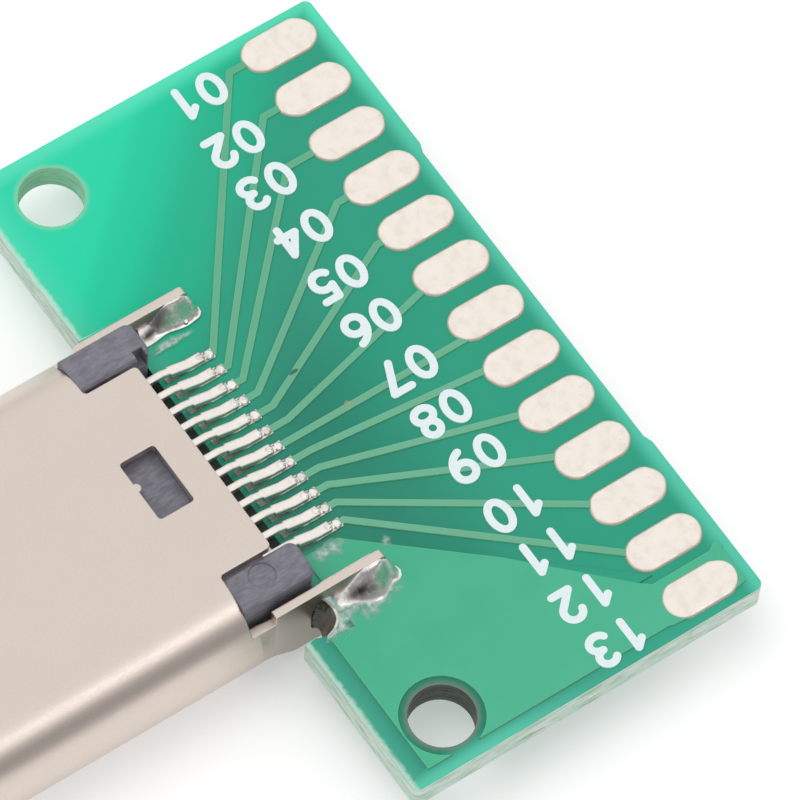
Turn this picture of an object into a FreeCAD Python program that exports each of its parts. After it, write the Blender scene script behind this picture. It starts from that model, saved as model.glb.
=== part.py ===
import FreeCAD, Part
import math
import os
from FreeCAD import Vector

# A small breakout board with a reversible 24-contact plug clamped onto its front edge.
# Millimetres. +X runs along the row of wire pads, +Y from the plug's mouth to the wire
# pads and +Z up. The origin is below the middle of the outline, on the plug's underside.

# Board
board_length = 10.1
board_thickness = 0.8
board_corner_radius = 0.2
copper_thickness = 0.04

# Shallow dip along the edge beside the wire pads
dip_depth = 0.09
dip_left = 4.55
dip_right = 4.85
dip_slope = 0.25

# Mounting holes
hole_radius = 0.83
hole_side_margin = 1.33
hole_setback = 1.65

# Wire pads
pad_count = 13
pad_pitch = 1.5
pad_end_margin = 0.75
pad_width = 1.02
pad_length = 2.04
pad_setback = 1.36
oval_end_sides = 6

# Plug's place on the board
plug_x = 0.08
recess_depth = 1.0
recess_gap_left = 0.39
recess_gap_right = 0.62
recess_relief_radius = 0.45
recess_relief_bulge = 0.09

# Plug shell, drawn from one sheet, with a slim nose and a larger rear body
sheet = 0.22
nose_width = 8.25
nose_height = 2.4
nose_length = 6.65
nose_edge_chamfer = 0.08
shoulder_length = 0.35
body_width = 9.15
body_height = 3.3
body_length = 9.6
body_over_board = 0.38

# Openings in the rear end of the shell's body
window_width = 1.78
window_length = 1.0
window_setback = 0.83
window_corner_radius = 0.1
window_nib_radius = 0.12
window_nib_shift = -0.13
notch_length = 1.48
notch_flat_overlap = 0.025
notch_corner_radius = 0.12
strap_half_height = 0.8
strap_curved_length = 0.2
strap_flatten_length = 0.46

# Forked arms that clamp the board
arm_inset = 0.195
arm_half_height = 1.17
arm_reach = 1.7
arm_slope_length = 0.65
arm_tip_radius = 0.15
arm_board_clearance = 0.02
arm_relief_half_height = 0.62
arm_relief_ahead = 0.38
arm_relief_behind = 0.27
arm_relief_radius = 0.28

# Contacts
contact_count = 12
contact_pitch = 0.5
contact_thickness = 0.15
contact_width = 0.25
contact_neck_width = 0.18
contact_bend_radius = 0.2
contact_mouth_setback = 2.16
contact_tip_height = 0.42
contact_point_length = 0.4
contact_point_height = 0.3
contact_beam_height = 0.78
tail_reach = 1.21
tail_foot_length = 0.42
tail_slope_length = 0.8

# Lands under the contact tails and the fan of tracks
land_width = 0.27
land_length = 1.4
land_setback = 0.14
track_width = 0.18
track_lead_step = 0.1
track_lead_longest = 0.6
track_straight_index = 6
track_elbow_drop = (0.45, 0.45, 0.75, 0.3, 0.15)
track_entry_shift = (0, 0, 0, 0, 0, 0.05, 0, -0.15, -0.1, -0.15, -0.05, 0.1)

# Shell pads and the copper pour
shell_pad_width = 0.85
shell_pad_length = 1.45
shell_pad_setback = 0.2
pour_side_margin = 0.35
pour_front_margin = 0.57
pour_recess_margin = 0.25
pour_track_offset = 0.52
pour_hole_gap = 0.22
pour_left = 3.15
pour_collar = 0.21
pour_hook = 0.12
pour_rim = 0.04

# Plastic housings
housing_fit = 0.02
mouth_inset = 0.15
cavity_width = 6.85
cavity_height = 1.1
cavity_depth = 5.35
cavity_corner_radius = 0.4
groove_side_gap = 0.03
groove_start_roof = 0.6
groove_end_roof = 0.9
block_plate_gap_left = 0.18
block_plate_gap_right = 0.05
block_arm_gap_left = 0.06
block_arm_gap_right = 0.19
block_groove_depth = 0.45
block_groove_setback = 0.12
block_half_height = 1.5
block_corner_radius = 0.22
block_edge_chamfer = 0.07
block_board_gap = 0.03
rear_wall_inset = 0.24
pocket_depth = 0.18
key_slot_width = 0.26
key_slot_length = 0.27
key_slot_depth = 0.5
key_slot_setback = 0.15
ejector_radius = 0.34
ejector_depth = 0.04
ejector_inset = 0.42
ejector_setback = 1.16

# Latch plate in the plug's mid-plane
latch_thickness = 0.2
latch_plate_width = 6.6
latch_plate_length = 8.0
latch_arm_width = 0.28
latch_arm_length = 3.9
latch_nose = 0.42
latch_gap = 0.06
latch_tail_radius = 0.3

# Ground springs against the nose's inner faces
spring_thickness = 0.1
spring_width = 5.6
spring_plate_length = 1.5
spring_finger_width = 1.2
spring_finger_length = 0.95
spring_finger_count = 3
spring_finger_pitch = 1.9
spring_finger_drop = 0.3
spring_tip_length = 0.25
spring_corner_radius = 0.15
spring_setback = 0.5
spring_gap = 0.05

# Solder
solder_length = 0.29
solder_height = 0.13
mound_base_width = 0.8
mound_base_length = 1.2
mound_top_width = 0.45
mound_top_length = 0.85
mound_height = 0.45

# Places along X, from the plug's axis unless they are the board's own
board_width = (pad_count - 1) * pad_pitch + 2 * pad_end_margin
hole_spacing = board_width - 2 * hole_side_margin
plate_half = (body_width - body_height) / 2 - notch_flat_overlap
arm_outer = body_width / 2 - arm_inset
arm_inner = arm_outer - sheet
block_inner_left = plate_half + block_plate_gap_left
block_inner_right = plate_half + block_plate_gap_right
block_outer_left = arm_inner - block_arm_gap_left
block_outer_right = arm_inner - block_arm_gap_right

# Places along Y, from the mouth at the front to the wire pads at the back
total_length = (nose_length + shoulder_length + body_length
                + board_length - body_over_board)
mouth_y = -total_length / 2
shoulder_y = mouth_y + nose_length
body_y = shoulder_y + shoulder_length
body_end_y = body_y + body_length
board_front_y = body_end_y - body_over_board
board_back_y = board_front_y + board_length
recess_y = board_front_y + recess_depth
notch_y = body_end_y - notch_length
arm_y = notch_y + strap_curved_length + strap_flatten_length
arm_end_y = recess_y + arm_reach
tail_end_y = recess_y + tail_reach
land_y = recess_y + land_setback
land_end_y = land_y + land_length
pad_y = board_back_y - pad_setback
hole_y = board_front_y + hole_setback
contact_tip_y = mouth_y + contact_mouth_setback
cavity_end_y = mouth_y + cavity_depth

# Heights, from the plug's underside
middle_z = body_height / 2
board_top = board_thickness / 2
copper_top = board_top + copper_thickness
nose_inner = nose_height / 2 - sheet
body_inner = body_height / 2 - sheet


def at_middle(shape):
    """Lift a shape drawn about the plug's own axis to its place."""
    return shape.translated(Vector(plug_x, 0, middle_z))


def below(shape):
    """Mirror a placed shape to the other side of the board's mid-plane."""
    return shape.mirror(Vector(0, 0, middle_z), Vector(0, 0, 1))


def rounded_wire(points, radii):
    """Closed wire through the points. Radii is one radius for all corners or one for each."""
    count = len(points)
    if not isinstance(radii, list):
        radii = [radii] * count
    starts = []
    ends = []
    edges = []
    for i in range(count):
        corner = points[i]
        before = (points[i - 1] - corner).normalize()
        after = (points[(i + 1) % count] - corner).normalize()
        radius = radii[i]
        if radius == 0:
            starts.append(corner)
            ends.append(corner)
            continue
        half_angle = before.getAngle(after) / 2
        setback = radius / math.tan(half_angle)
        first = corner + before * setback
        last = corner + after * setback
        inward = (before + after).normalize()
        middle = corner + inward * (radius / math.sin(half_angle) - radius)
        edges.append(Part.Arc(first, middle, last).toShape())
        starts.append(first)
        ends.append(last)
    for i in range(count):
        here = ends[i]
        there = starts[(i + 1) % count]
        if here.distanceToPoint(there) > 1e-6:
            edges.append(Part.LineSegment(here, there).toShape())
    return Part.Wire(Part.__sortEdges__(edges))


def plate(outline, low, high, radii=0):
    """Flat piece with an XY outline, between two heights."""
    points = [Vector(x, y, low) for x, y in outline]
    face = Part.Face(rounded_wire(points, radii))
    return face.extrude(Vector(0, 0, high - low))


def side_plate(outline, left, right, radii=0):
    """Flat piece with a YZ outline, between two places along X."""
    points = [Vector(left, y, z) for y, z in outline]
    face = Part.Face(rounded_wire(points, radii))
    return face.extrude(Vector(right - left, 0, 0))


def block(left, right, front, back, low, high):
    """Straight-sided block between pairs of limits."""
    return Part.makeBox(right - left, back - front, high - low, Vector(left, front, low))


def pill_wire(width, height, y):
    """Flat top and bottom joined by half-round sides, across the Y axis."""
    radius = height / 2
    flat = width / 2 - radius
    corners = [
        Vector(-flat, y, radius),
        Vector(flat, y, radius),
        Vector(flat, y, -radius),
        Vector(-flat, y, -radius),
    ]
    return Part.Wire([
        Part.LineSegment(corners[0], corners[1]).toShape(),
        Part.Arc(corners[1], Vector(width / 2, y, 0), corners[2]).toShape(),
        Part.LineSegment(corners[2], corners[3]).toShape(),
        Part.Arc(corners[3], Vector(-width / 2, y, 0), corners[0]).toShape(),
    ])


def pill(width, height, front, back):
    """Straight length of the pill section."""
    face = Part.Face(pill_wire(width, height, front))
    return face.extrude(Vector(0, back - front, 0))


def stepped_pill(inset):
    """Nose, shoulder and body in one, each surface drawn in by the inset."""
    nose_w = nose_width - 2 * inset
    nose_h = nose_height - 2 * inset
    body_w = body_width - 2 * inset
    body_h = body_height - 2 * inset
    shoulder = Part.makeLoft(
        [pill_wire(nose_w, nose_h, shoulder_y), pill_wire(body_w, body_h, body_y)], True, True)
    nose = pill(nose_w, nose_h, mouth_y, shoulder_y)
    body = pill(body_w, body_h, body_y, body_end_y)
    return nose.fuse([shoulder, body]).removeSplitter()


def window_cut():
    """The housing's latch window, with a half-round nib on its front edge."""
    back = body_end_y - window_setback
    front = back - window_length
    half = window_width / 2
    outline = [(-half, front), (half, front), (half, back), (-half, back)]
    opening = plate(outline, -body_height, body_height, window_corner_radius)
    nib = Part.makeCylinder(
        window_nib_radius, 2 * body_height, Vector(window_nib_shift, front, -body_height))
    return opening.cut(nib)


def strap_section(y, curved):
    """Section of one side wall between the notches, curved like the body or flat."""
    h = strap_half_height
    if curved:
        centre = body_width / 2 - body_height / 2
        outer = centre + math.sqrt((body_height / 2) ** 2 - h ** 2)
        inner = centre + math.sqrt(body_inner ** 2 - h ** 2)
        outer_edge = Part.Arc(
            Vector(outer, y, -h), Vector(body_width / 2, y, 0), Vector(outer, y, h))
        inner_edge = Part.Arc(
            Vector(inner, y, h), Vector(body_width / 2 - sheet, y, 0), Vector(inner, y, -h))
    else:
        outer = arm_outer
        inner = arm_inner
        outer_edge = Part.LineSegment(Vector(outer, y, -h), Vector(outer, y, h))
        inner_edge = Part.LineSegment(Vector(inner, y, h), Vector(inner, y, -h))
    top = Part.LineSegment(Vector(outer, y, h), Vector(inner, y, h))
    bottom = Part.LineSegment(Vector(inner, y, -h), Vector(outer, y, -h))
    return Part.Wire([
        outer_edge.toShape(), top.toShape(), inner_edge.toShape(), bottom.toShape()])


def arm():
    """Forked arm: two prongs with a rounded relief where their slot begins."""
    slot = copper_top + arm_board_clearance
    outline = [
        (arm_y, -strap_half_height),
        (arm_y + arm_slope_length, -arm_half_height),
        (arm_end_y, -arm_half_height),
        (arm_end_y, arm_half_height),
        (arm_y, arm_half_height),
    ]
    tip = arm_tip_radius
    blank = side_plate(outline, arm_inner, arm_outer, [0, tip, tip, tip, 0])
    gap = block(arm_inner, arm_outer, recess_y, arm_end_y, -slot, slot)
    relief = side_plate(
        [(recess_y - arm_relief_ahead, -arm_relief_half_height),
         (recess_y + arm_relief_behind, -arm_relief_half_height),
         (recess_y + arm_relief_behind, arm_relief_half_height),
         (recess_y - arm_relief_ahead, arm_relief_half_height)],
        arm_inner, arm_outer, arm_relief_radius)
    return blank.cut([gap, relief])


def side_arm():
    """Strap that flattens out of the body's rounded side, and its forked arm."""
    flat_start = notch_y + strap_curved_length
    strap = Part.makeLoft(
        [strap_section(flat_start, True), strap_section(arm_y, False)], True, True)
    return strap.fuse(arm())


def plug_shell():
    """Drawn shell: nose, shoulder, body with notched rear corners, window and two arms."""
    outer = stepped_pill(0)
    mouth_edges = [edge for edge in outer.Edges if edge.BoundBox.YMax < body_y - nose_length]
    outer = outer.makeChamfer(nose_edge_chamfer, mouth_edges)
    inner = stepped_pill(sheet)
    shell = outer.cut(inner)
    beyond = body_end_y + body_over_board
    for side in (-1, 1):
        outline = [
            (side * plate_half, beyond),
            (side * plate_half, notch_y),
            (side * body_width, notch_y),
            (side * body_width, beyond),
        ]
        radii = [0, notch_corner_radius, 0, 0]
        upper = plate(outline, strap_half_height, body_height, radii)
        lower = plate(outline, -body_height, -strap_half_height, radii)
        limits = sorted((side * plate_half, side * body_width))
        middle = block(limits[0], limits[1], notch_y + strap_curved_length, beyond,
                       -body_height, body_height)
        shell = shell.cut([upper, lower, middle])
    corners = [edge for edge in shell.Edges if is_plate_corner(edge)]
    shell = shell.makeFillet(notch_corner_radius, corners)
    shell = shell.cut(window_cut())
    right = side_arm()
    left = right.mirror(Vector(0, 0, 0), Vector(1, 0, 0))
    return at_middle(shell.fuse([right, left]).removeSplitter())


def is_plate_corner(edge):
    """True for the upright edges at the rear corners of the body's top and bottom."""
    box = edge.BoundBox
    upright = box.ZLength > sheet * 0.9 and box.YLength < 1e-6 and box.XLength < 1e-6
    return upright and abs(box.YMax - body_end_y) < 1e-6


def strip(path, thickness, left, right):
    """Bent strip between two places along X. Its centre line's points are (y, z, bend radius)."""
    half = thickness / 2
    near = []
    far = []
    near_radii = []
    far_radii = []
    last = len(path) - 1
    for i, (y, z, radius) in enumerate(path):
        here = Vector(0, y, z)
        ahead = Vector(0, *path[min(i + 1, last)][:2]) - Vector(0, *path[min(i, last - 1)][:2])
        behind = Vector(0, *path[max(i, 1)][:2]) - Vector(0, *path[max(i - 1, 0)][:2])
        ahead.normalize()
        behind.normalize()
        normal = Vector(0, -ahead.z - behind.z, ahead.y + behind.y).normalize()
        reach = half / normal.dot(Vector(0, -ahead.z, ahead.y))
        near.append((here + normal * reach)[1:])
        far.append((here - normal * reach)[1:])
        turn = behind.y * ahead.z - behind.z * ahead.y
        inside = radius - half
        outside = radius + half
        near_radii.append(0 if radius == 0 else inside if turn > 0 else outside)
        far_radii.append(0 if radius == 0 else outside if turn > 0 else inside)
    outline = near + far[::-1]
    return side_plate(outline, left, right, near_radii + far_radii[::-1])


def contact(x):
    """Upper contact: sprung tip in the mouth, beam in the housings, tail on its land."""
    foot = copper_top + contact_thickness / 2
    tail_bend_y = tail_end_y - tail_foot_length
    tail_top_y = tail_bend_y - tail_slope_length
    path = [
        (contact_tip_y, contact_tip_height, 0),
        (contact_tip_y + contact_point_length, contact_point_height, contact_bend_radius),
        (cavity_end_y - contact_thickness, contact_beam_height, 0),
        (tail_top_y, contact_beam_height, 0),
        (tail_bend_y, foot, contact_bend_radius),
        (tail_end_y, foot, 0),
    ]
    wide = contact_width / 2
    slim = contact_neck_width / 2
    side = strip(path, contact_thickness, x - wide, x + wide)
    neck_y = body_end_y - rear_wall_inset
    neck_end_y = tail_top_y + contact_width
    outline = [
        (x - wide, contact_tip_y - wide), (x + wide, contact_tip_y - wide),
        (x + wide, neck_y), (x + slim, neck_y), (x + slim, neck_end_y), (x + wide, neck_end_y),
        (x + wide, tail_end_y), (x - wide, tail_end_y),
        (x - wide, neck_end_y), (x - slim, neck_end_y), (x - slim, neck_y), (x - wide, neck_y),
    ]
    plan = plate(outline, 0, nose_height)
    return at_middle(side.common(plan))


def contact_places():
    """X of each contact from the plug's axis, first to last."""
    first = -(contact_count - 1) * contact_pitch / 2
    return [first + i * contact_pitch for i in range(contact_count)]


def latch_plate():
    """Mid-plane plate with a sprung latch arm down each side of the mouth."""
    half = latch_thickness / 2
    tail_half = latch_plate_width / 2
    outer = cavity_width / 2 + latch_gap + latch_arm_width
    inner = outer - latch_arm_width
    front = cavity_end_y + latch_gap
    back = front + latch_plate_length
    tip = front - latch_arm_length
    nose = inner - latch_nose
    root = front + latch_arm_width
    right = [
        (inner, front), (inner, tip + 2 * latch_nose), (nose, tip + latch_nose),
        (inner, tip), (outer, tip), (outer, root), (tail_half, root), (tail_half, back),
    ]
    radii = [0] * (len(right) - 1) + [latch_tail_radius]
    left = [(-x, y) for x, y in right[::-1]]
    return at_middle(plate(right + left, -half, half, radii + radii[::-1]))


def spring_fingers_x():
    """X of each finger of a ground spring from the plug's axis."""
    first = -(spring_finger_count - 1) * spring_finger_pitch / 2
    return [first + i * spring_finger_pitch for i in range(spring_finger_count)]


def ground_spring():
    """Upper ground spring: a plate under the nose's roof with fingers bent inwards."""
    top = nose_inner
    centre = top - spring_thickness / 2
    tip_y = mouth_y + spring_setback
    plate_y = tip_y + spring_finger_length
    back_y = plate_y + spring_plate_length
    half = spring_width / 2
    outline = [(-half, plate_y), (half, plate_y), (half, back_y), (-half, back_y)]
    base = plate(outline, top - spring_thickness, top, spring_corner_radius)
    fingers = []
    for x in spring_fingers_x():
        path = [
            (plate_y + spring_finger_drop, centre, 0),
            (plate_y, centre, 0),
            (tip_y + spring_tip_length, centre - spring_finger_drop, 0),
            (tip_y, centre - spring_finger_drop, 0),
        ]
        half_finger = spring_finger_width / 2
        fingers.append(strip(path, spring_thickness, x - half_finger, x + half_finger))
    return at_middle(base.fuse(fingers).removeSplitter())


def front_housing(inserts):
    """Nose insulator: tongue cavity, contact grooves, latch channels and spring seats."""
    width = nose_width - 2 * sheet - 2 * housing_fit
    height = nose_height - 2 * sheet - 2 * housing_fit
    front = mouth_y + mouth_inset
    back = shoulder_y + shoulder_length / 2
    body = pill(width, height, front, back)
    half = cavity_width / 2
    rise = cavity_height / 2
    corners = [Vector(-half, front, -rise), Vector(half, front, -rise),
               Vector(half, front, rise), Vector(-half, front, rise)]
    cavity = Part.Face(rounded_wire(corners, cavity_corner_radius))
    cuts = [cavity.extrude(Vector(0, cavity_end_y - front, 0))]
    groove_half = contact_width / 2 + groove_side_gap
    groove_y = contact_tip_y - contact_width
    groove = [(groove_y, -groove_start_roof), (cavity_end_y, -groove_end_roof),
              (cavity_end_y, groove_end_roof), (groove_y, groove_start_roof)]
    for x in contact_places():
        cuts.append(side_plate(groove, x - groove_half, x + groove_half))
    channel = latch_thickness / 2 + latch_gap
    channel_y = cavity_end_y - latch_arm_length
    cuts.append(block(-nose_width / 2, nose_width / 2, channel_y,
                      cavity_end_y + latch_gap + latch_arm_width, -channel, channel))
    seat = nose_inner - spring_thickness - housing_fit
    seat_half = spring_width / 2 + spring_gap
    plate_y = mouth_y + spring_setback + spring_finger_length
    seat_back = plate_y + spring_plate_length + spring_gap
    finger_half = spring_finger_width / 2 + spring_gap
    finger_y = mouth_y + spring_setback - spring_gap
    for low, high in ((seat, nose_height), (-nose_height, -seat)):
        cuts.append(block(-seat_half, seat_half, plate_y - spring_gap, seat_back, low, high))
        for x in spring_fingers_x():
            cuts.append(block(x - finger_half, x + finger_half, finger_y,
                              plate_y + spring_finger_drop, min(0, low), max(0, high)))
    shape = at_middle(body.cut(cuts))
    return shape.cut(inserts)


def rear_housing(inserts):
    """Body insulator: fills the shell's body and ends in two corner blocks at the board."""
    inset = 2 * (sheet + housing_fit)
    height = body_height - inset
    top = height / 2
    main = pill(body_width - inset, height, body_y, notch_y - housing_fit)
    wall_y = body_end_y - rear_wall_inset
    start_y = notch_y - body_over_board
    wall = block(-block_inner_left, block_inner_right, start_y, wall_y, -top, top)
    end_y = recess_y - block_board_gap
    left = corner_block(-block_inner_left, -block_outer_left, end_y).cut(key_slot(end_y))
    right = corner_block(block_inner_right, block_outer_right, end_y).cut(ejector_mark(end_y))
    shape = main.fuse([wall, left, right]).removeSplitter()
    cuts = [pocket(top), pocket(-top), side_groove(top, wall_y), side_groove(-top, wall_y)]
    return at_middle(shape.cut(cuts)).cut(inserts)


def corner_block(inner, outer, end_y):
    """Block of the rear housing that fills one corner notch of the shell."""
    near = notch_y + housing_fit
    outline = [(inner, near), (outer, near), (outer, end_y), (inner, end_y)]
    radii = [0, 0, block_corner_radius, block_corner_radius]
    shape = plate(outline, -block_half_height, block_half_height, radii)
    return shape.makeChamfer(block_edge_chamfer, [e for e in shape.Edges if is_block_edge(e)])


def key_slot(end_y):
    """Small slot down the inner side of the left block, near its end."""
    back = end_y - key_slot_setback
    return block(-block_inner_left - key_slot_width, -plate_half, back - key_slot_length, back,
                 block_half_height - key_slot_depth, block_half_height)


def ejector_mark(end_y):
    """Shallow round mark that a moulding pin left on the right block."""
    centre = Vector(block_inner_right + ejector_inset, end_y - ejector_setback,
                    block_half_height - ejector_depth)
    return Part.makeCylinder(ejector_radius, ejector_depth, centre)


def side_groove(surface, wall_y):
    """Groove in the rear wall between the shell's top plate and the left block."""
    low, high = sorted((surface, surface - math.copysign(block_groove_depth, surface)))
    front = notch_y + housing_fit + block_groove_setback
    return block(-block_inner_left, -plate_half, front, wall_y, low, high)


def is_block_edge(edge):
    """True for the edges round the top and bottom of a corner block, but for the hidden front."""
    box = edge.BoundBox
    return box.ZLength < 1e-6 and box.YMax > notch_y + 2 * housing_fit


def pocket(surface):
    """Shallow pocket in the housing behind a window of the shell."""
    back = body_end_y - window_setback + housing_fit
    front = back - window_length - 2 * housing_fit
    half = window_width / 2 + housing_fit
    outline = [(-half, front), (half, front), (half, back), (-half, back)]
    low, high = sorted((surface, surface - math.copysign(pocket_depth, surface)))
    return plate(outline, low, high, window_corner_radius)


def board():
    """Laminate with rounded corners, the plug's recess, a dipped edge and two holes."""
    half = board_width / 2
    left = plug_x - arm_outer - recess_gap_left
    right = plug_x + arm_outer + recess_gap_right
    relief = recess_relief_radius
    corner = board_corner_radius
    dip_y = board_back_y - dip_depth
    outline = [
        (-half, board_front_y), (left, board_front_y), (left, recess_y), (right, recess_y),
        (right, board_front_y), (half, board_front_y), (half, board_back_y),
        (dip_right + dip_slope, board_back_y), (dip_right, dip_y),
        (-dip_left, dip_y), (-dip_left - dip_slope, board_back_y), (-half, board_back_y),
    ]
    radii = [corner, 0, 0, 0, 0, corner, corner, 0, 0, 0, 0, corner]
    low = middle_z - board_top
    high = middle_z + board_top
    blank = plate(outline, low, high, radii)
    cuts = []
    for x in (left + relief - recess_relief_bulge, right - relief + recess_relief_bulge):
        cuts.append(Part.makeCylinder(relief, board_thickness, Vector(x, recess_y - relief, low)))
    for x in (-hole_spacing / 2, hole_spacing / 2):
        cuts.append(Part.makeCylinder(hole_radius, board_thickness, Vector(x, hole_y, low)))
    return blank.cut(cuts)


def copper(outline):
    """Flat copper shape on the board's upper face."""
    low = middle_z + board_top
    return plate(outline, low, low + copper_thickness)


def oval(x, y, width, length):
    """Outline that is long along Y, with each round end in a few straight sides."""
    half = width / 2
    reach = length / 2 - half
    outline = []
    for side in (1, -1):
        for i in range(oval_end_sides + 1):
            angle = math.pi * i / oval_end_sides
            outline.append((x + side * half * math.cos(angle),
                            y + side * (reach + half * math.sin(angle))))
    return outline


def pad_places():
    """X of each wire pad, first to last."""
    first = -(pad_count - 1) * pad_pitch / 2
    return [first + i * pad_pitch for i in range(pad_count)]


def wire_pad(x):
    """Oval pad, long across the board's edge."""
    return copper(oval(x, pad_y, pad_width, pad_length))


def contact_land(x):
    """Land under one contact tail."""
    half = land_width / 2
    left = plug_x + x - half
    right = plug_x + x + half
    outline = [(left, land_y), (right, land_y), (right, land_end_y), (left, land_end_y)]
    return copper(outline)


def track_points(index):
    """Centre line of one track from its land to its wire pad."""
    start_x = plug_x + contact_places()[index]
    end_x = pad_places()[index] + track_entry_shift[index]
    pad_foot = pad_y - pad_length / 2
    lead = track_lead_longest - track_lead_step * abs(index - track_straight_index)
    inside_pad = pad_y - pad_length / 2 + pad_width / 2
    if index == track_straight_index:
        return [(start_x, land_end_y - land_width), (start_x, inside_pad)]
    points = [(start_x, land_end_y - land_width), (start_x, land_end_y + lead)]
    if index < len(track_elbow_drop):
        points.append((end_x, pad_foot - track_elbow_drop[index]))
    points.append((end_x, inside_pad))
    return points


def track(index, neighbours):
    """One track of constant width, trimmed where it meets its land and its pad."""
    points = [Vector(x, y, 0) for x, y in track_points(index)]
    runs = [(there - here).normalize() for here, there in zip(points, points[1:])]
    left = []
    right = []
    for i, point in enumerate(points):
        before = runs[max(i - 1, 0)]
        after = runs[min(i, len(runs) - 1)]
        across = Vector(-before.y - after.y, before.x + after.x, 0).normalize()
        reach = track_width / 2 / across.dot(Vector(-after.y, after.x, 0))
        left.append((point + across * reach)[:2])
        right.append((point - across * reach)[:2])
    outline = left + right[::-1]
    trimmed = copper(outline).cut(neighbours)
    return max(trimmed.Solids, key=lambda solid: solid.Volume)


def shell_pad(side):
    """Pad under one prong of the shell."""
    centre = plug_x + side * (arm_inner + arm_outer) / 2
    left = centre - shell_pad_width / 2
    right = centre + shell_pad_width / 2
    front = recess_y + shell_pad_setback
    back = front + shell_pad_length
    outline = [(left, front), (right, front), (right, back), (left, back)]
    return copper(outline)


def ground_pour(neighbours):
    """Copper area beside the last track, round one hole and up round the last wire pad."""
    start, end = track_points(contact_count - 1)[1:3]
    along = Vector(end[0] - start[0], end[1] - start[1], 0).normalize()
    shift = Vector(along.y, -along.x, 0) * pour_track_offset
    slope = along.y / along.x
    base_x = start[0] + shift.x
    base_y = start[1] + shift.y
    last_x = pad_places()[-1]
    collar_left = last_x - pad_width / 2 - pour_collar
    collar_right = last_x + pad_width / 2
    side_x = board_width / 2 - pour_side_margin
    front = board_front_y + pour_front_margin
    shelf = recess_y + pour_recess_margin
    step_x = plug_x + arm_outer + recess_gap_right + pour_recess_margin
    pad_foot = pad_y - pad_length / 2
    pad_top = pad_y + pad_length / 2
    lip = collar_left - pour_collar
    outline = [
        (pour_left, base_y + (pour_left - base_x) * slope),
        (pour_left, shelf), (step_x, shelf), (step_x, front), (side_x, front),
        (side_x, pad_foot - pour_collar), (collar_right - pour_hook / 2, pad_foot),
        (collar_right - pour_hook / 2, pad_foot + pour_hook),
        (collar_right, pad_foot + pad_width / 2),
        (collar_right, pad_top - pad_width / 2), (collar_right - pour_hook, pad_top + pour_rim),
        (collar_left + pour_hook, pad_top + pour_rim),
        (collar_left, pad_top + pour_hook), (collar_left - pour_hook, pad_top + pour_hook / 2),
        (collar_left - pour_hook, pad_top - pour_hook / 2), (collar_left, pad_top - 2 * pour_hook),
        (collar_left, pad_foot + pour_hook), (lip, pad_foot - pour_hook),
        (lip, base_y + (lip - base_x) * slope),
    ]
    area = copper(outline)
    low = middle_z + board_top
    ring = Part.makeCylinder(
        hole_radius + pour_hole_gap, copper_thickness, Vector(hole_spacing / 2, hole_y, low))
    return area.cut([ring] + neighbours)


def tail_solder(x):
    """Solder that runs from a tail's end down onto its land."""
    half = contact_width / 2
    end = tail_end_y + solder_length
    outline = [
        (tail_end_y, copper_top), (end, copper_top),
        (tail_end_y + solder_length / 3, copper_top + solder_height),
        (tail_end_y, copper_top + solder_height),
    ]
    return at_middle(side_plate(outline, x - half, x + half))


def mound_wire(x, y, width, length, z):
    """Oval section at one height of a solder mound."""
    return rounded_wire([Vector(a, b, z) for a, b in oval(x, y, width, length)], 0)


def prong_solder(side, shell):
    """Solder mound round one upper prong, from its pad up."""
    x = side * (arm_inner + arm_outer) / 2
    y = arm_end_y - mound_top_length / 2
    base_y = recess_y + shell_pad_setback + shell_pad_length - mound_base_length / 2
    wires = [
        mound_wire(x, base_y, mound_base_width, mound_base_length, copper_top),
        mound_wire(x, y, mound_top_width, mound_top_length, copper_top + mound_height),
    ]
    mound = at_middle(Part.makeLoft(wires, True, True))
    return mound.cut(shell)


def save(name, shape):
    """Write one node's solids."""
    shape.exportStep("parts/" + name + ".step")


def save_both(name, shapes):
    """Write a group on the board's upper face and the same group on its lower face."""
    upper = Part.Compound(shapes)
    save(name + "_top", upper)
    save(name + "_bottom", below(upper))


def build():
    """Make every node of the board and its plug."""
    os.makedirs("parts", exist_ok=True)
    places = contact_places()
    upper_contacts = [contact(x) for x in places]
    lower_contacts = [below(shape) for shape in upper_contacts]
    latch = latch_plate()
    inserts = upper_contacts + lower_contacts + [latch]
    shell = plug_shell()
    save("plug_shell", shell)
    save("front_housing", front_housing(inserts))
    save("rear_housing", rear_housing(inserts))
    save("latch_plate", latch)
    for i in range(contact_count):
        save("contact_a%d" % (i + 1), upper_contacts[i])
        save("contact_b%d" % (contact_count - i), lower_contacts[i])
    spring = ground_spring()
    save("ground_spring_top", spring)
    save("ground_spring_bottom", below(spring))
    save("board", board())
    pads = [wire_pad(x) for x in pad_places()]
    lands = [contact_land(x) for x in places]
    shell_pads = [shell_pad(side) for side in (-1, 1)]
    save_both("wire_pads", pads)
    save_both("contact_lands", lands)
    save_both("shell_pads", shell_pads)
    save_both("tracks", [track(i, [pads[i], lands[i]]) for i in range(contact_count)])
    save_both("ground_pour", [ground_pour([pads[-1]] + shell_pads)])
    save_both("tail_solder", [tail_solder(x) for x in places])
    save_both("prong_solder", [prong_solder(side, shell) for side in (-1, 1)])


build()
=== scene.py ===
import math

import bmesh
import bpy
from mathutils import Matrix, Vector, noise


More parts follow.
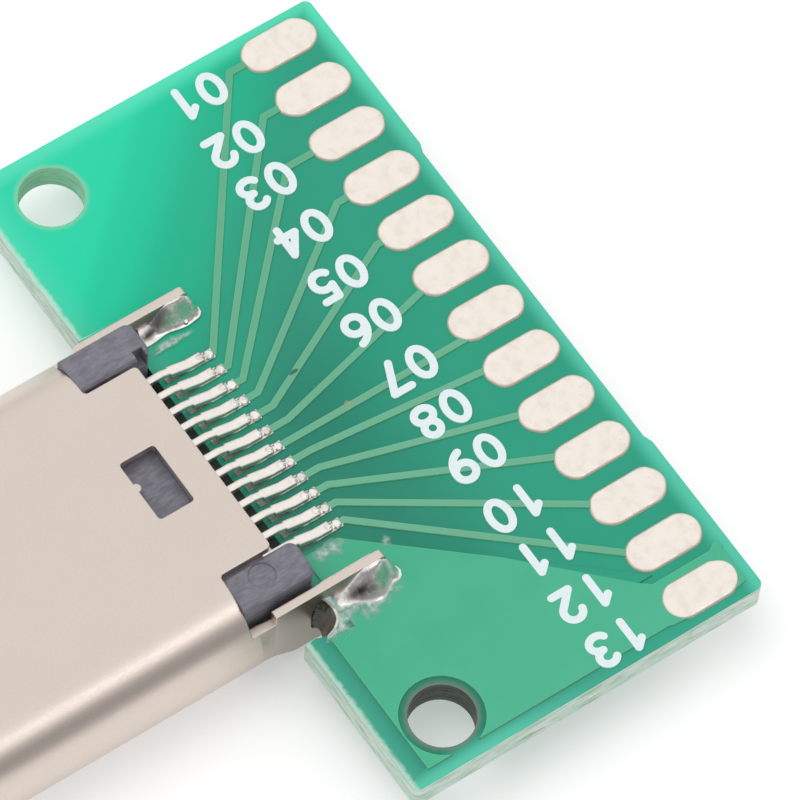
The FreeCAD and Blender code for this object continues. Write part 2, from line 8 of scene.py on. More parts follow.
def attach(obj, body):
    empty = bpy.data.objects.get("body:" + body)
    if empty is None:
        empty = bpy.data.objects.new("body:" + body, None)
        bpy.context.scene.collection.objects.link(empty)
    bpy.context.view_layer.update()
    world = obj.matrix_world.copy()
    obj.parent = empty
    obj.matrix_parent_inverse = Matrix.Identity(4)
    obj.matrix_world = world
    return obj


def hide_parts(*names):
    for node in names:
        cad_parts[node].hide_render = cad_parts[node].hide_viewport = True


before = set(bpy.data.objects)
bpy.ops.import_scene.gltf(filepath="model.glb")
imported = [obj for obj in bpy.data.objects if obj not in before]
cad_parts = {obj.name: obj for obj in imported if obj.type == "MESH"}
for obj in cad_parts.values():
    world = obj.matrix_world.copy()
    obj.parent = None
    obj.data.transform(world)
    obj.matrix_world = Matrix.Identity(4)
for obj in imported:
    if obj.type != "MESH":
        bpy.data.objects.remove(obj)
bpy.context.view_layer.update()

# places and sizes in millimetres, in the CAD's frame

MM = 0.001
BOARD_TOP = 2.05
COPPER_TOP = 2.09
MIDDLE = 1.65
BOARD_HALF = 9.75
BOARD_FRONT = 3.06
BOARD_BACK = 13.16
RECESS = 4.06
RECESS_MIDDLE = 0.195
RECESS_HALF = 4.885
HOLE = (8.42, 4.71)
PLUG_X = 0.08
PAD_Y = 11.80
PAD_SIZE = (1.02, 2.04)
PAD_PLACES = [-9 + 1.5 * i for i in range(13)]
TAIL_PLACES = [PLUG_X - 2.75 + 0.5 * i for i in range(12)]
TAIL_END = 5.27
CRUMB = (0.26, 7.56)
NICK = (-1.17, 6.93)
POUR_EDGE = ((5.18, 7.75), (8.12, 10.69))
CHANNEL_X = 8.14
ARM_FACES = (4.16, 4.38)
ARM_END = 5.76
ARM_TOP = 2.82
OPENING_SIZE = (0.36, 0.66)
STRIP_X = (-4.84, -4.60)
FLOOR_SIZE = 0.6
FLOOR_GLOW = 0.36


# colours

def linear(*rgb):
    """Linear colour from one in the usual 0 to 255 steps."""
    steps = [c / 255 for c in rgb]
    return tuple(c / 12.92 if c <= 0.04045 else ((c + 0.055) / 1.055) ** 2.4 for c in steps) + (1,)


MASK_GLOSS = {"Specular_IOR_Level": 0.25, "Coat_Weight": 0.1, "Coat_Roughness": 0.12}


# material nodes

class Paint:
    """A node material, with a short call for each kind of node."""

    def __init__(self, name, metallic=0.0, roughness=0.5, **sockets):
        self.material = bpy.data.materials.new(name)
        self.material.use_nodes = True
        self.tree = self.material.node_tree
        self.shader = self.tree.nodes["Principled BSDF"]
        self.set("Metallic", metallic)
        self.set("Roughness", roughness)
        for key, value in sockets.items():
            self.set(key.replace("_", " "), value)
        place = self.add("ShaderNodeTexCoord").outputs["Object"]
        self.place = self.vector("SCALE", place, scale=1 / MM)
        parts = self.add("ShaderNodeSeparateXYZ")
        self.link(self.place, parts.inputs[0])
        self.x, self.y, self.z = parts.outputs

    def set(self, socket, value):
        if isinstance(value, bpy.types.NodeSocket):
            self.link(value, self.shader.inputs[socket])
        else:
            self.shader.inputs[socket].default_value = value

    def add(self, kind, **settings):
        node = self.tree.nodes.new(kind)
        for key, value in settings.items():
            setattr(node, key, value)
        return node

    def link(self, start, end):
        self.tree.links.new(start, end)

    def feed(self, socket, value):
        if isinstance(value, bpy.types.NodeSocket):
            self.link(value, socket)
        else:
            socket.default_value = value

    def vector(self, operation, a, b=None, scale=None):
        node = self.add("ShaderNodeVectorMath", operation=operation)
        self.feed(node.inputs[0], a)
        if b is not None:
            self.feed(node.inputs[1], b)
        if scale is not None:
            node.inputs["Scale"].default_value = scale
        return node.outputs["Value" if operation == "DOT_PRODUCT" else "Vector"]

    def math(self, operation, a, b=0.0):
        node = self.add("ShaderNodeMath", operation=operation)
        self.feed(node.inputs[0], a)
        self.feed(node.inputs[1], b)
        return node.outputs[0]

    def line(self, value, low, high, start=0.0, end=1.0):
        """Even change from start to end while the value goes from low to high."""
        return self.rise(value, low, high, start, end, "LINEAR")

    def rise(self, value, low, high, start=0.0, end=1.0, kind="SMOOTHSTEP"):
        """Smooth change from start to end while the value goes from low to high."""
        node = self.add("ShaderNodeMapRange", interpolation_type=kind)
        self.feed(node.inputs[0], value)
        for i, number in enumerate((low, high, start, end)):
            self.feed(node.inputs[i + 1], number)
        return node.outputs[0]

    def grain(self, size, detail=2.0, stretch=(1, 1, 1), rough=0.5, shift=0.0):
        """Noise between 0 and 1 whose lumps are about size millimetres across."""
        node = self.add("ShaderNodeTexNoise")
        scaled = self.vector("MULTIPLY", self.place, tuple(1 / (size * s) for s in stretch))
        moved = self.vector("ADD", scaled, (shift, shift * 0.7, shift * 0.3))
        self.link(moved, node.inputs["Vector"])
        node.inputs["Scale"].default_value = 1.0
        node.inputs["Detail"].default_value = detail
        node.inputs["Roughness"].default_value = rough
        return node.outputs["Fac"]

    def mix(self, factor, a, b, blend="MIX"):
        node = self.add("ShaderNodeMix", data_type="RGBA", blend_type=blend)
        self.feed(node.inputs[0], factor)
        self.feed(node.inputs[6], a)
        self.feed(node.inputs[7], b)
        return node.outputs[2]

    def ramp(self, value, stops):
        node = self.add("ShaderNodeValToRGB")
        node.color_ramp.interpolation = "EASE"
        marks = node.color_ramp.elements
        marks[0].position, marks[0].color = stops[0]
        marks[1].position, marks[1].color = stops[-1]
        for position, colour in stops[1:-1]:
            marks.new(position).color = colour
        self.link(value, node.inputs[0])
        return node.outputs[0]

    def bumps(self, height, depth, normal=None):
        """Bump whose height of 1 is depth millimetres."""
        node = self.add("ShaderNodeBump")
        node.inputs["Strength"].default_value = 1.0
        node.inputs["Distance"].default_value = depth * MM
        self.link(height, node.inputs["Height"])
        if normal is not None:
            self.link(normal, node.inputs["Normal"])
        return node.outputs[0]

    def soft_edges(self, radius):
        """Normal that rounds the edges, and a mask that is 1 along them."""
        bevel = self.add("ShaderNodeBevel", samples=4)
        bevel.inputs["Radius"].default_value = radius * MM
        flat = self.add("ShaderNodeNewGeometry").outputs["Normal"]
        near = self.vector("DOT_PRODUCT", bevel.outputs[0], flat)
        return bevel.outputs[0], self.rise(near, 0.995, 0.86)

    def facing(self, axis):
        """How far the surface faces along an axis, without sign."""
        parts = self.add("ShaderNodeSeparateXYZ")
        self.link(self.add("ShaderNodeNewGeometry").outputs["True Normal"], parts.inputs[0])
        return self.math("ABSOLUTE", parts.outputs[axis])


def rear_distance(paint):
    """Distance in millimetres from the rear edge."""
    return paint.math("SUBTRACT", BOARD_BACK, paint.y)


def wing(paint):
    """1 on the two wings beside the recess, 0 in its width."""
    off = paint.math("ABSOLUTE", paint.math("SUBTRACT", paint.x, RECESS_MIDDLE))
    return paint.rise(off, RECESS_HALF - 0.03, RECESS_HALF + 0.03)


def front_distance(paint):
    """Distance in millimetres from the front edge, which steps back at the recess."""
    edge = paint.math("SUBTRACT", RECESS, wing(paint))
    return paint.math("SUBTRACT", paint.y, edge)


def spot(paint, x, y, wide, deep):
    """1 inside a small soft oval on the board, 0 outside it."""
    across = paint.math("DIVIDE", paint.math("SUBTRACT", paint.x, x), wide)
    along = paint.math("DIVIDE", paint.math("SUBTRACT", paint.y, y), deep)
    away = paint.math("SQRT", paint.math("ADD", paint.math("MULTIPLY", across, across),
                                         paint.math("MULTIPLY", along, along)))
    return paint.rise(away, 1.1, 0.8)


def marks(paint, colour):
    """Colour with the two small stains between the tails and the print."""
    crumb = paint.math("MULTIPLY", spot(paint, *CRUMB, 0.10, 0.09), 0.75)
    nick = paint.math("MULTIPLY", spot(paint, *NICK, 0.055, 0.15), 0.75)
    colour = paint.mix(crumb, colour, linear(158, 168, 128))
    return paint.mix(nick, colour, linear(34, 74, 56))


def hole_distance(paint):
    """Distance in millimetres from the nearer hole's centre."""
    across = paint.math("SUBTRACT", paint.math("ABSOLUTE", paint.x), HOLE[0])
    along = paint.math("SUBTRACT", paint.y, HOLE[1])
    squares = paint.math("ADD", paint.math("MULTIPLY", across, across),
                         paint.math("MULTIPLY", along, along))
    return paint.math("SQRT", squares)


def mask_green_with_painted_light(paint):
    """Solder mask green with a painted glow, mint to the left and at the edges, and deep painted
    shade over the tracks.
    """
    # painted shade: deep green over the tracks, turning to a painted glow of mint to the left
    slant = paint.math("ADD", paint.x, paint.math("MULTIPLY", paint.y, 0.9))
    left = paint.line(slant, -3.8, 5.7, 1.0, 0.0)
    fan = paint.line(paint.y, 5.5, 10.3, -0.06, 0.35)
    depth = paint.math("SMOOTH_MAX", left, fan)
    depth.node.inputs[2].default_value = 0.12
    green = paint.ramp(depth, [
        (0.0, linear(30, 130, 107)), (0.32, linear(36, 160, 129)), (0.55, linear(22, 185, 144)),
        (0.78, linear(28, 211, 165)), (0.88, linear(36, 222, 176)), (1.0, linear(38, 224, 178))])
    # painted glow: lighter mint along the sides, the rear and the front edge
    side_left = paint.rise(paint.x, 0.6 - BOARD_HALF, 0.05 - BOARD_HALF, 0.0, 0.8)
    side_right = paint.rise(paint.x, BOARD_HALF - 0.6, BOARD_HALF - 0.05, 0.0, 0.9)
    side_right = paint.math("MULTIPLY", side_right, paint.rise(paint.y, 10.0, 5.0, 0.15, 1.0))
    rear = paint.rise(rear_distance(paint), 0.6, 0.06, 0.0, 0.9)
    front = paint.rise(front_distance(paint), 0.9, 0.1, 0.0, 0.4)
    glow = paint.math("MAXIMUM", paint.math("MAXIMUM", side_left, side_right),
                      paint.math("MAXIMUM", rear, front))
    light = paint.mix(paint.rise(paint.x, -9.5, -4.0), linear(96, 240, 200),
                      linear(92, 212, 182))
    green = paint.mix(glow, green, light)
    cloud = paint.grain(3.0, 3.0)
    return paint.mix(paint.rise(cloud, 0.3, 0.7, 0.0, 0.1), green, linear(86, 188, 156))


def laminate_wall(paint):
    """Sawn glass laminate: pale layers with loose strands, tinted inside the holes, painted shade
    in the recess.
    """
    strands = paint.grain(0.12, 4.0, (5, 5, 0.9))
    wall = paint.ramp(strands, [(0.3, linear(176, 206, 184)), (0.5, linear(226, 244, 230)),
                                (0.62, linear(246, 253, 248)), (0.8, linear(208, 222, 208))])
    blotch = paint.rise(paint.grain(0.4, 4.0, (3, 3, 0.6)), 0.35, 0.7, 0.0, 0.6)
    wall = paint.mix(blotch, wall, linear(180, 232, 206))
    # painted shade on the laminate wall in the recess, under the plug
    recess = paint.math("SUBTRACT", 1.0, wing(paint))
    recess = paint.math("MULTIPLY", recess, paint.rise(paint.y, RECESS + 1.0, RECESS + 0.6))
    wall = paint.mix(paint.math("MULTIPLY", recess, 0.9), wall, linear(66, 104, 80))
    # the right hole's wall and strands are darker grey, the left one's pale green
    darker_at = paint.rise(paint.x, -1.0, 1.0)
    tint = paint.mix(darker_at, linear(178, 236, 204), linear(84, 88, 80))
    tint = paint.mix(paint.rise(strands, 0.42, 0.6, 0.0, 0.45), tint,
                     paint.mix(darker_at, linear(128, 192, 158), linear(124, 134, 122)))
    inside = paint.rise(hole_distance(paint), 1.0, 0.9)
    return paint.mix(inside, wall, tint)


def board_paint():
    """Green mask on the faces, bare laminate on the edges and where the mask stops short."""
    paint = Paint("solder_mask_on_laminate", roughness=0.32, **MASK_GLOSS)
    green = marks(paint, mask_green_with_painted_light(paint))
    ragged = paint.math("MULTIPLY", paint.grain(0.20, 4.0, rough=0.6), 0.18)
    front = paint.math("SUBTRACT", front_distance(paint), ragged)
    bare = paint.math("MULTIPLY", paint.rise(front, 0.08, -0.06, 0.0, 0.7), wing(paint))
    green = paint.mix(bare, green, linear(214, 242, 226))
    distance = paint.math("SUBTRACT", hole_distance(paint),
                          paint.math("MULTIPLY", ragged, 0.5))
    ring = paint.rise(distance, 0.94, 0.80, 0.0, 0.65)
    ring_tint = paint.mix(paint.rise(paint.x, -1.0, 1.0), linear(150, 214, 172),
                          linear(128, 134, 118))
    green = paint.mix(ring, green, ring_tint)
    upright = paint.rise(paint.facing(2), 0.7, 0.4)
    paint.set("Base Color", paint.mix(upright, green, laminate_wall(paint)))
    paint.set("Roughness", paint.rise(upright, 0.0, 1.0, 0.32, 0.75))
    weave = paint.grain(0.55, 2.0)
    fine = paint.grain(0.05, 2.0, (4, 4, 1))
    height = paint.math("ADD", paint.math("MULTIPLY", weave, 0.5),
                        paint.math("MULTIPLY", fine, upright))
    paint.set("Normal", paint.bumps(height, 0.02))
    return paint.material


def past_pour(paint):
    """1 past the line on which the pour stops before pad 12, 0 on the pour."""
    (x, y), (next_x, next_y) = POUR_EDGE
    run = Vector((next_x - x, next_y - y)).normalized()
    across = paint.math("MULTIPLY", paint.math("SUBTRACT", paint.x, x), -run.y)
    along = paint.math("MULTIPLY", paint.math("SUBTRACT", paint.y, y), run.x)
    past = paint.rise(paint.math("ADD", across, along), -0.015, 0.015)
    before = paint.rise(paint.x, CHANNEL_X + 0.02, CHANNEL_X - 0.02)
    return paint.math("MULTIPLY", past, before)


def masked_copper_paint(name, stops, start, end, pour=False):
    """Mask over copper: lighter than over laminate, yellower along the copper's edge, painted light
    on its walls.
    """
    paint = Paint(name, roughness=0.32, **MASK_GLOSS)
    normal, edge = paint.soft_edges(0.06)
    upward = paint.add("ShaderNodeCombineXYZ")
    paint.link(paint.math("SIGN", paint.math("SUBTRACT", paint.z, MIDDLE)), upward.inputs[2])
    soft = paint.vector("NORMALIZE", paint.vector("ADD", normal, upward.outputs[0]))
    colour = paint.ramp(paint.line(paint.x, start, end), stops)
    colour = paint.mix(paint.rise(paint.grain(1.2, 3.0), 0.3, 0.7, 0.0, 0.25), colour,
                       linear(92, 196, 158))
    colour = marks(paint, colour)
    # painted light on the upright walls to lift their shade, and a lighter colour along the top
    # edges
    wall = paint.rise(paint.facing(2), 0.7, 0.4)
    rim = paint.math("MAXIMUM", paint.math("MULTIPLY", edge, 0.45), wall)
    colour = paint.mix(rim, colour, linear(134, 210, 160))
    if pour:
        colour = paint.mix(past_pour(paint), colour, mask_green_with_painted_light(paint))
    paint.set("Base Color", colour)
    paint.set("Normal", paint.bumps(paint.grain(0.3, 3.0), 0.006, soft))
    return paint.material


def tin_paint(name, base, dull, roughness=0.34, lump=0.25, depth=0.010):
    """Tinned copper or solder: mottled, softly dented, a little dull in places."""
    paint = Paint(name, metallic=1.0, roughness=roughness)
    mottle = paint.grain(lump, 4.0, rough=0.6)
    paint.set("Base Color", paint.mix(paint.rise(mottle, 0.42, 0.72), base, dull))
    paint.set("Roughness", paint.rise(mottle, 0.3, 0.7, roughness * 0.8, roughness * 1.3))
    paint.set("Normal", paint.bumps(mottle, depth))
    return paint


def pad_paint():
    """Tinned pad whose rim shows bare copper and dried flux."""
    paint = tin_paint("tinned_pads", linear(247, 239, 230), linear(242, 233, 223), 0.46, 0.3,
                      0.002)
    rim = paint.add("ShaderNodeAttribute", attribute_name="rim").outputs["Fac"]
    base = paint.shader.inputs["Base Color"].links[0].from_socket
    specks = paint.rise(paint.grain(0.10, 3.0, rough=0.7), 0.62, 0.72)
    ends = paint.rise(paint.y, PAD_Y + 0.2, PAD_Y + 1.0, 0.05, 0.6)
    base = paint.mix(paint.math("MULTIPLY", specks, ends), base, linear(206, 186, 166))
    paint.set("Base Color", paint.mix(rim, base, linear(206, 184, 162)))
    paint.set("Metallic", paint.math("SUBTRACT", 1.0, paint.math("MULTIPLY", rim, 0.7)))
    return paint.material


def solder_paint():
    """Bright solder with a dark brown band on the steep part beside the prongs: painted shade, with
    some scorched flux.
    """
    paint = tin_paint("bright_solder", linear(246, 241, 237), linear(210, 204, 198), 0.27, 0.3,
                      0.012)
    shade_and_burn = paint.add("ShaderNodeAttribute", attribute_name="shade_and_burn").outputs["Fac"]
    patchy = paint.rise(paint.grain(0.16, 4.0, rough=0.6), 0.3, 0.55, 0.6, 1.0)
    base = paint.shader.inputs["Base Color"].links[0].from_socket
    paint.set("Base Color", paint.mix(paint.math("MULTIPLY", shade_and_burn, patchy), base,
                                      linear(58, 50, 46)))
    return paint.material


def shell_paint():
    """Satin plated sheet with fine speckle and a painted highlight along the edges."""
    paint = Paint("shell_metal", metallic=1.0, roughness=0.30)
    normal, edge = paint.soft_edges(0.05)
    speckle = paint.rise(paint.grain(0.035, 2.0), 0.3, 0.7)
    cloud = paint.rise(paint.grain(1.8, 3.0), 0.3, 0.7)
    base = paint.mix(speckle, linear(217, 204, 195), linear(222, 209, 200))
    base = paint.mix(paint.math("MULTIPLY", cloud, 0.2), base, linear(214, 202, 190))
    # painted highlight along the edges
    base = paint.mix(paint.math("MULTIPLY", edge, 0.7), base, linear(248, 240, 232))
    # painted shade on the arms' sideways faces, growing toward the prongs
    outer = paint.math("ABSOLUTE", paint.math("SUBTRACT", paint.x, PLUG_X))
    arm = paint.math("MULTIPLY", paint.rise(outer, 4.10, 4.20), paint.rise(paint.y, 0.6, 3.4))
    arm = paint.math("MULTIPLY", arm, paint.rise(paint.facing(0), 0.2, 1.0, 0.0, 0.75))
    paint.set("Base Color", paint.mix(arm, base, linear(168, 160, 149)))
    paint.set("Roughness", paint.rise(paint.grain(0.06, 3.0), 0.3, 0.7, 0.29, 0.35))
    drag = paint.grain(0.05, 2.0, (1, 14, 1))
    paint.set("Normal", paint.bumps(drag, 0.0007, normal))
    return paint.material


def plastic_paint():
    """Moulded plastic: a faint blue in the grey, pale scuffs on the edges that are partly a painted
    highlight.
    """
    paint = Paint("housing_plastic", roughness=0.55)
    normal, edge = paint.soft_edges(0.06)
    fibre = paint.grain(0.10, 4.0, (1, 3, 1), 0.6)
    base = paint.mix(paint.rise(fibre, 0.3, 0.7), linear(112, 111, 120), linear(136, 134, 144))
    # pale scuffs along the edges, partly a painted highlight
    scuff_and_highlight = paint.math("MULTIPLY", edge, paint.rise(paint.grain(0.4, 3.0), 0.35, 0.6))
    base = paint.mix(paint.math("MULTIPLY", scuff_and_highlight, 0.45), base, linear(150, 148, 156))
    paint.set("Base Color", base)
    paint.set("Normal", paint.bumps(fibre, 0.012, normal))
    return paint.material


def spring_paint():
    """Bare stamped sheet, brushed along the plug."""
    paint = Paint("spring_metal", metallic=1.0, roughness=0.28)
    normal = paint.soft_edges(0.03)[0]
    brushed = paint.grain(0.04, 3.0, (1, 18, 1))
    paint.set("Base Color", paint.mix(brushed, linear(176, 173, 168), linear(214, 211, 206)))
    paint.set("Normal", paint.bumps(brushed, 0.0015, normal))
    return paint.material


def contact_paint():
    """Tinned tails behind, gilt where the contact reaches the mouth."""
    paint = Paint("contact_metal", metallic=1.0, roughness=0.30)
    normal, edge = paint.soft_edges(0.07)
    mottle = paint.grain(0.12, 3.0)
    tinned = paint.mix(mottle, linear(234, 227, 219), linear(252, 247, 242))
    # painted shade along the tails' edges
    tinned = paint.mix(paint.math("MULTIPLY", edge, 0.6), tinned, linear(168, 152, 138))
    gilt = paint.mix(mottle, linear(206, 170, 104), linear(224, 190, 126))
    paint.set("Base Color", paint.mix(paint.rise(paint.y, -4.0, -3.0), gilt, tinned))
    paint.set("Normal", paint.bumps(mottle, 0.002, normal))
    return paint.material


def silk_paint():
    """White printing ink, thin and faintly green where it is worn."""
    paint = Paint("printed_ink", roughness=0.55)
    worn = paint.rise(paint.grain(0.12, 3.0, rough=0.6), 0.5, 0.8)
    paint.set("Base Color", paint.mix(paint.math("MULTIPLY", worn, 0.35), linear(240, 252, 254),
                                      linear(206, 236, 228)))
    paint.set("Normal", paint.bumps(paint.grain(0.1, 3.0), 0.01))
    return paint.material


def flux_paint():
    """Dried flux: a whitish film that thins out to nothing."""
    paint = Paint("dried_flux", roughness=0.45)
    cover = paint.add("ShaderNodeAttribute", attribute_name="cover").outputs["Fac"]
    patchy = paint.rise(paint.grain(0.25, 4.0, rough=0.55), 0.25, 0.75)
    paint.set("Base Color", paint.mix(patchy, linear(140, 200, 178), linear(214, 226, 224)))
    paint.set("Alpha", paint.math("MULTIPLY", cover, paint.math("ADD", patchy, 0.15)))
    paint.set("Normal", paint.bumps(paint.grain(0.1, 3.0), 0.006))
    return paint.material


def gap_shade_paint():
    """Painted shade: a dark glassy sheet in the gap beside the arm, lighter outward for the arm's
    metal in shade.
    """
    paint = Paint("painted_gap_shade", roughness=0.22)
    patchy = paint.rise(paint.grain(0.3, 4.0, rough=0.6), 0.3, 0.7)
    dark = paint.mix(patchy, linear(44, 46, 38), linear(70, 74, 56))
    # painted shade: lighter brown-grey outward, where the sheet stands for the arm's metal in shade
    outward = paint.rise(paint.x, 4.55, 4.85)
    paint.set("Base Color", paint.mix(outward, dark, linear(120, 112, 100)))
    paint.set("Normal", paint.bumps(paint.grain(0.15, 3.0), 0.03))
    return paint.material


# mesh building, in millimetres

def make_piece(name, build, material, nodes=(), under=False, smooth=True, turned=False):
    """New piece from a builder that fills a bmesh.

    under mirrors it below the board; turned rolls it over there, so that text stays readable.
    """
    mesh = bpy.data.meshes.new(name)
    shape = bmesh.new()
    build(shape)
    if under or turned:
        flip = Matrix.Diagonal((-1 if turned else 1, 1, -1, 1))
        flip = Matrix.Translation((0, 0, 2 * MIDDLE)) @ flip
        bmesh.ops.transform(shape, verts=shape.verts, matrix=flip)
    if under:
        bmesh.ops.reverse_faces(shape, faces=shape.faces)
    bmesh.ops.scale(shape, vec=(MM, MM, MM), verts=shape.verts)
    for face in shape.faces:
        face.smooth = smooth
    shape.to_mesh(mesh)
    shape.free()
    mesh.materials.append(material)
    piece = bpy.data.objects.new(name, mesh)
    bpy.context.scene.collection.objects.link(piece)
    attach(piece, "root")
    if nodes:
        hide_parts(*nodes)
    return piece


def skin(shape, rings, layer=None, values=None, cap=True):
    """Join rings of points, outermost first, and close the last one on its middle."""
    rows = []
    for i, ring in enumerate(rings):
        row = [shape.verts.new(point) for point in ring]
        if layer is not None:
            each = values[i] if isinstance(values[i], list) else [values[i]] * len(row)
            for vert, value in zip(row, each):
                vert[layer] = value
        rows.append(row)
    count = len(rings[0])
    for outer, inner in zip(rows, rows[1:]):
        for i in range(count):
            j = (i + 1) % count
            shape.faces.new((outer[i], outer[j], inner[j], inner[i]))
    if cap:
        middle = shape.verts.new(sum((vert.co for vert in rows[-1]), Vector()) / count)
        if layer is not None:
            middle[layer] = values[-1]
        for i in range(count):
            shape.faces.new((rows[-1][i], rows[-1][(i + 1) % count], middle))


def oval_ring(x, y, width, length, z, count=44, wobble=0.0, seed=0.0):
    """Ring of points round an oval that is long along Y."""
    half = width / 2
    reach = length / 2 - half
    ring = []
    for i in range(count):
        angle = 2 * math.pi * (i + 0.5) / count
        out = Vector((math.cos(angle), math.sin(angle), 0))
        push = 1 + wobble * noise.noise(Vector((out.x * 1.5 + seed, out.y * 1.5, seed)))
        point = out * half * push + Vector((x, y + math.copysign(reach, out.y), z))
        ring.append(point)
    return ring


def pads(shape):
    """Crowned tinned pads with a thin skirt that shows copper."""
    rim = shape.verts.layers.float.new("rim")
    # width against the pad's own, height over the board, bare rim
    steps = [(1.03, 0.004, 1.0), (0.99, 0.03, 0.7), (0.95, 0.052, 0.1), (0.90, 0.066, 0.0),
             (0.8, 0.078, 0.0), (0.62, 0.086, 0.0), (0.4, 0.089, 0.0), (0.18, 0.09, 0.0)]
    for i, x in enumerate(PAD_PLACES):
        rings = []
        for scale, height, _ in steps:
            width = PAD_SIZE[0] * scale
            length = PAD_SIZE[1] - PAD_SIZE[0] * (1 - scale)
            ring = oval_ring(x, PAD_Y, width, length, BOARD_TOP + height, 44, 0.05, i * 3.7)
            for point in ring:
                dent = noise.noise(Vector((point.x * 2.2, point.y * 2.2, i * 5.1)))
                point.z += 0.014 * dent * min(1.0, height / 0.06)
            rings.append(ring)
        skin(shape, rings, rim, [value for _, _, value in steps])


def arc(cx, cy, rx, ry, start, end, count=14):
    """Points along an ellipse's arc, with angles in degrees."""
    points = []
    for i in range(count + 1):
        angle = math.radians(start + (end - start) * i / count)
        points.append((cx + rx * math.cos(angle), cy + ry * math.sin(angle)))
    return points


# strokes of each digit on a field 0.5 wide and 0.8 high

DIGITS = {
    "0": [arc(0.25, 0.4, 0.25, 0.4, 0, 360, 28)],
    "1": [[(0.08, 0.62), (0.28, 0.8)], [(0.28, 0.8), (0.28, 0.0)]],
    "2": [arc(0.25, 0.56, 0.24, 0.24, 170, -30, 14), [(0.46, 0.44), (0.02, 0.0)],
          [(0.02, 0.0), (0.5, 0.0)]],
    "3": [arc(0.24, 0.6, 0.22, 0.2, 150, -90, 14), arc(0.24, 0.2, 0.25, 0.2, 90, -150, 14)],
    "4": [[(0.36, 0.8), (0.0, 0.25)], [(0.0, 0.25), (0.5, 0.25)], [(0.36, 0.8), (0.36, 0.0)]],
    "5": [[(0.46, 0.8), (0.08, 0.8)], [(0.08, 0.8), (0.05, 0.44)],
          arc(0.22, 0.25, 0.26, 0.25, 130, -140, 16)],
    "6": [arc(0.25, 0.24, 0.25, 0.24, 0, 360, 22), arc(0.5, 0.28, 0.5, 0.52, 180, 106, 8)],
    "7": [[(0.0, 0.8), (0.5, 0.8)], [(0.5, 0.8), (0.16, 0.0)]],
    "8": [arc(0.25, 0.6, 0.2, 0.2, 0, 360, 20), arc(0.25, 0.2, 0.25, 0.2, 0, 360, 22)],
    "9": [arc(0.25, 0.56, 0.25, 0.24, 0, 360, 22), arc(0.0, 0.52, 0.5, 0.52, 0, -74, 8)],
}
LABEL_X = (-8.85, -7.22, -5.82, -4.24, -2.72, -1.27, 0.28, 1.73, 3.18, 4.78, 6.18, 7.68, 9.08)
LABEL_Y = 10.05
CHARACTER_PITCH = 0.8
STROKE = 0.2


def stroke(shape, points, low, high):
    """Slab of ink along a line of points, with round ends."""
    path = [Vector((x, y, 0)) for x, y in points]
    closed = (path[0] - path[-1]).length < 0.001
    if closed:
        path = path[:-1]
    count = len(path)
    left, right = [], []
    for i, point in enumerate(path):
        after = path[(i + 1) % count] if closed or i < count - 1 else point
        before = path[i - 1] if closed or i > 0 else point
        run = (after - before).normalized()
        out = Vector((-run.y, run.x, 0)) * STROKE / 2
        left.append(point + out)
        right.append(point - out)
    if closed:
        for side, turn in ((left, 1), (right, -1)):
            wall(shape, side, low, high, turn)
        tops = [[shape.verts.new((p.x, p.y, high)) for p in side] for side in (left, right)]
        for i in range(count):
            j = (i + 1) % count
            shape.faces.new((tops[1][i], tops[1][j], tops[0][j], tops[0][i]))
        return
    outline = right + cap(path[-1], right[-1]) + left[::-1] + cap(path[0], left[0])
    top = [shape.verts.new((p.x, p.y, high)) for p in outline]
    shape.faces.new(top)
    wall(shape, outline, low, high, 1)


def cap(centre, start, count=6):
    """Points of a round end, from one side of a stroke to the other."""
    arm = start - centre
    return [centre + Matrix.Rotation(math.pi * i / count, 3, "Z") @ arm for i in range(1, count)]


def wall(shape, outline, low, high, turn):
    """Upright wall under a closed outline."""
    lower = [shape.verts.new((p.x, p.y, low)) for p in outline]
    upper = [shape.verts.new((p.x, p.y, high)) for p in outline]
    count = len(outline)
    for i in range(count):
        j = (i + 1) % count
        loop = (lower[i], lower[j], upper[j], upper[i])
        shape.faces.new(loop if turn > 0 else loop[::-1])


def labels(first):
    """Builder of two-digit numbers beside the pads, counted from the first one."""
    def build(shape):
        for i, x in enumerate(LABEL_X):
            text = "%02d" % (first + i)
            for k, digit in enumerate(text):
                for m, line in enumerate(DIGITS[digit]):
                    start = LABEL_Y - 0.1 - CHARACTER_PITCH * k
                    points = [(x - 0.4 + v, start - u) for u, v in line]
                    stroke(shape, points, BOARD_TOP, COPPER_TOP + 0.006 + 0.001 * m)
    return build


# solder of the left and the right prong: side, start behind the recess, reach beside the arm and
# past its end, swell, and where along the arm the dark band of painted shade and scorched flux lies

FILLETS = [(-1, 0.30, 0.40, 0.05, 0.04, 0.1), (1, 0.23, 0.38, 0.17, 0.30, 0.4)]
FILLET_STEPS = 14
DROPS = [((-3.70, 5.50, COPPER_TOP + 0.04), 0.075), ((4.20, 5.90, COPPER_TOP + 0.02), 0.05)]


def hump(value, middle, width):
    """1 at the middle, falling off smoothly on both sides."""
    return math.exp(-((value - middle) / width) ** 2)


def ease(t):
    """Smooth rise from 0 to 1."""
    return (3 - 2 * t) * t ** 2


